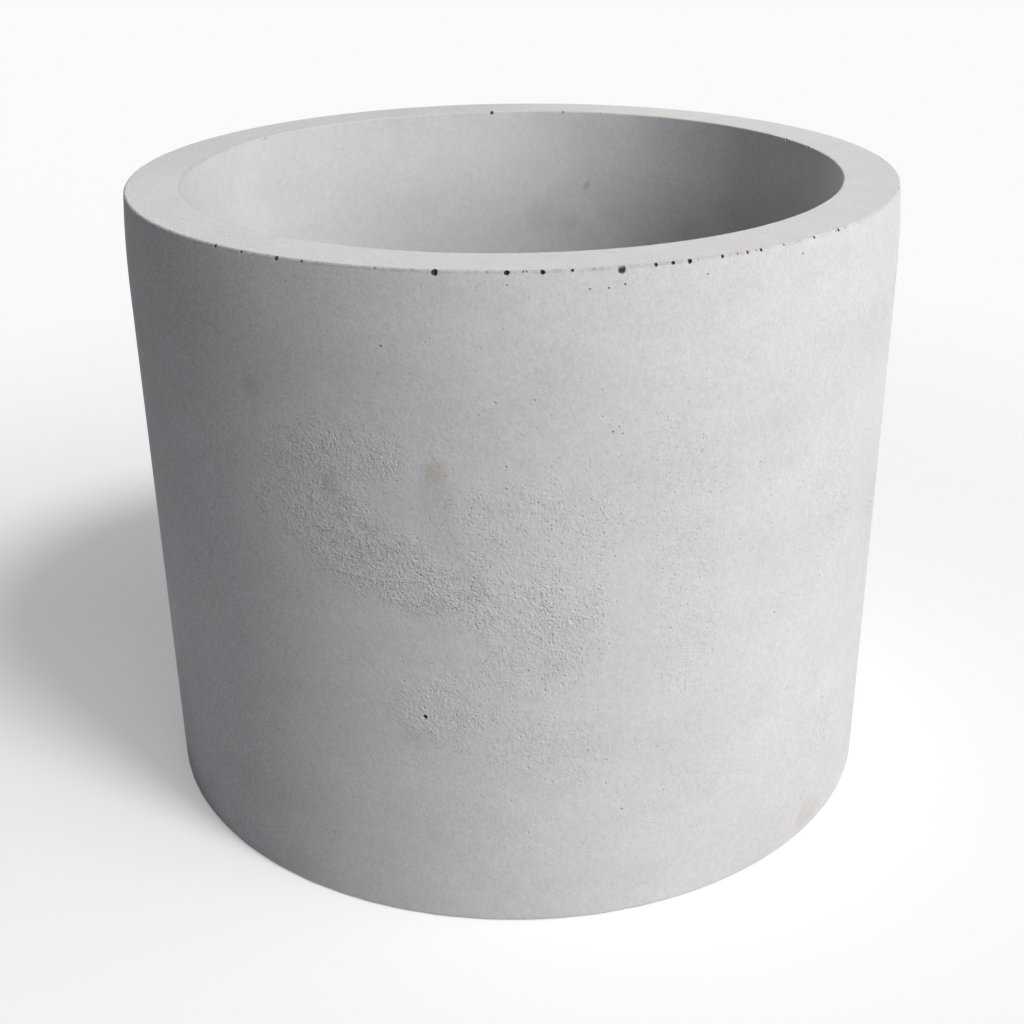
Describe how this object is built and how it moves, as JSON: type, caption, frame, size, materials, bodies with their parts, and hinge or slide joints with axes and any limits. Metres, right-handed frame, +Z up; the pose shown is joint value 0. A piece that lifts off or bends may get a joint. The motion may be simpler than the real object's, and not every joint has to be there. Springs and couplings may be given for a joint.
{
  "type": "concrete planter",
  "caption": "Straight-sided round concrete planter with a flat rim, a sleeved drain hole closed by a pull-out rubber plug, and felt pads under the base.",
  "frame": {"origin": "on the floor, at the foot of the planter's axis, under the pads", "axes": "+Z up along the planter's axis, -Y towards the side that the picture shows; the pads lie between the X and Y axes"},
  "size_m": [0.305, 0.305, 0.25],
  "materials": {
    "concrete": "matte",
    "sleeve_plastic": "satin",
    "plug_rubber": "matte",
    "pad_felt": "matte"
  },
  "bodies": {
    "planter": {"concrete_shell": "concrete", "drain_sleeve": "sleeve_plastic", "foot_pad_1": "pad_felt", "foot_pad_2": "pad_felt", "foot_pad_3": "pad_felt", "foot_pad_4": "pad_felt"},
    "plug": {"drain_plug": "plug_rubber"}
  },
  "joints": [
    {"name": "plug_pull", "type": "slide", "parent": "planter", "child": "plug", "axis": [0, 0, 1], "range_m": [0, 0.26]}
  ]
}
